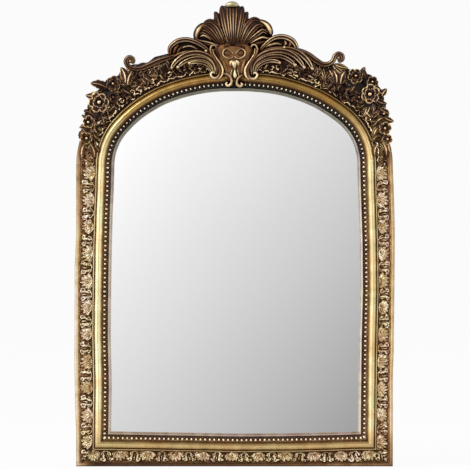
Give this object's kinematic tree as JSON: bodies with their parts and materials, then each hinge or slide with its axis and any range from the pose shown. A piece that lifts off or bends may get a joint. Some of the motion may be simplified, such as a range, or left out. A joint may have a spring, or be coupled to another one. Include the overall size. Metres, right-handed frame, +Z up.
{
  "type": "arched wall mirror",
  "caption": "Upright mirror with a three-centred arched top in a gilt moulded frame, with a bead row, leaf frieze, carved shell crest, flower sprays and ring hangers behind.",
  "frame": {"origin": "middle of the bottom edge, on the plane of the back that lies against the wall", "axes": "+X to the right of someone who faces the mirror, +Y backward into the wall, +Z up"},
  "size_m": [0.6395, 0.056, 0.9323],
  "materials": {
    "timber": "sawn softwood, gilt on the outer edge",
    "crest_board": "stained, dull",
    "dowels": "plain beech",
    "bead_moulding": "antique gilt with dark brown wash",
    "torus_moulding": "burnished pale gilt",
    "frieze_moulding": "antique gilt with brown wash",
    "frieze_ornament": "cast composition, rubbed antique gilt",
    "crest_ornament": "cast composition, bronze gilt with dark wash",
    "spray_ornament": "cast composition, bronze gilt with dark wash",
    "mirror_glass": "silvered float glass",
    "liner": "foam liner sheet",
    "backboard": "fibreboard, plain",
    "hanger_plate": "brass plated",
    "hanger_wire": "brass plated",
    "screws": "brass plated",
    "turn_buttons": "dark zinc"
  },
  "bodies": {
    "frame": {"acanthus_left": "crest_ornament", "acanthus_right": "crest_ornament", "arch_crown": "timber", "arch_haunch_left": "timber", "arch_haunch_right": "timber", "backboard": "backboard", "bead_moulding_arch": "bead_moulding", "bead_moulding_bottom": "bead_moulding", "bead_moulding_left": "bead_moulding", "bead_moulding_right": "bead_moulding", "bottom_rail": "timber", "bow_scroll": "crest_ornament", "cartouche": "crest_ornament", "crest_board": "crest_board", "dowels": "dowels", "fan_left": "crest_ornament", "fan_right": "crest_ornament", "frieze_leaves_arch": "frieze_ornament", "frieze_leaves_bottom": "frieze_ornament", "frieze_leaves_left": "frieze_ornament", "frieze_leaves_right": "frieze_ornament", "frieze_moulding_arch": "frieze_moulding", "frieze_moulding_bottom": "frieze_moulding", "frieze_moulding_left": "frieze_moulding", "frieze_moulding_right": "frieze_moulding", "hanger_screws": "screws", "hanger_strap_left": "hanger_plate", "hanger_strap_right": "hanger_plate", "liner_sheet": "liner", "lower_scrolls": "crest_ornament", "mirror_glass": "mirror_glass", "pendant_drop": "crest_ornament", "plume": "crest_ornament", "plume_tip": "crest_ornament", "s_scroll_left": "crest_ornament", "s_scroll_right": "crest_ornament", "shoulder_left": "crest_ornament", "shoulder_right": "crest_ornament", "spray_flowers_left": "spray_ornament", "spray_flowers_right": "spray_ornament", "spray_leaves_left": "spray_ornament", "spray_leaves_right": "spray_ornament", "stile_left": "timber", "stile_right": "timber", "torus_moulding_arch": "torus_moulding", "torus_moulding_bottom": "torus_moulding", "torus_moulding_left": "torus_moulding", "torus_moulding_right": "torus_moulding", "turn_button_screws": "screws", "volute_arm_left": "crest_ornament", "volute_arm_right": "crest_ornament"},
    "left_ring": {"hanger_ring_left": "hanger_wire"},
    "right_ring": {"hanger_ring_right": "hanger_wire"},
    "lower_left_button": {"turn_button_lower_left": "turn_buttons"},
    "upper_left_button": {"turn_button_upper_left": "turn_buttons"},
    "lower_right_button": {"turn_button_lower_right": "turn_buttons"},
    "upper_right_button": {"turn_button_upper_right": "turn_buttons"},
    "bottom_button": {"turn_button_bottom": "turn_buttons"},
    "top_button": {"turn_button_top": "turn_buttons"}
  },
  "joints": [
    {"name": "left_ring_swing", "type": "hinge", "parent": "frame", "child": "left_ring", "pos_m": [-0.272, -0.0052, 0.57], "axis": [1, 0, 0], "range_deg": [0, 180]},
    {"name": "right_ring_swing", "type": "hinge", "parent": "frame", "child": "right_ring", "pos_m": [0.272, -0.0052, 0.57], "axis": [1, 0, 0], "range_deg": [0, 180]},
    {"name": "lower_left_button_turn", "type": "hinge", "parent": "frame", "child": "lower_left_button", "pos_m": [-0.272, -0.008, 0.1752], "axis": [0, 1, 0], "range_deg": [-100, 100]},
    {"name": "upper_left_button_turn", "type": "hinge", "parent": "frame", "child": "upper_left_button", "pos_m": [-0.272, -0.008, 0.42176], "axis": [0, 1, 0], "range_deg": [-100, 100]},
    {"name": "lower_right_button_turn", "type": "hinge", "parent": "frame", "child": "lower_right_button", "pos_m": [0.272, -0.008, 0.1752], "axis": [0, 1, 0], "range_deg": [-100, 100]},
    {"name": "upper_right_button_turn", "type": "hinge", "parent": "frame", "child": "upper_right_button", "pos_m": [0.272, -0.008, 0.42176], "axis": [0, 1, 0], "range_deg": [-100, 100]},
    {"name": "bottom_button_turn", "type": "hinge", "parent": "frame", "child": "bottom_button", "pos_m": [0, -0.008, 0.046], "axis": [0, 1, 0], "range_deg": [-100, 100]},
    {"name": "top_button_turn", "type": "hinge", "parent": "frame", "child": "top_button", "pos_m": [0, -0.008, 0.782], "axis": [0, 1, 0], "range_deg": [-100, 100]}
  ]
}
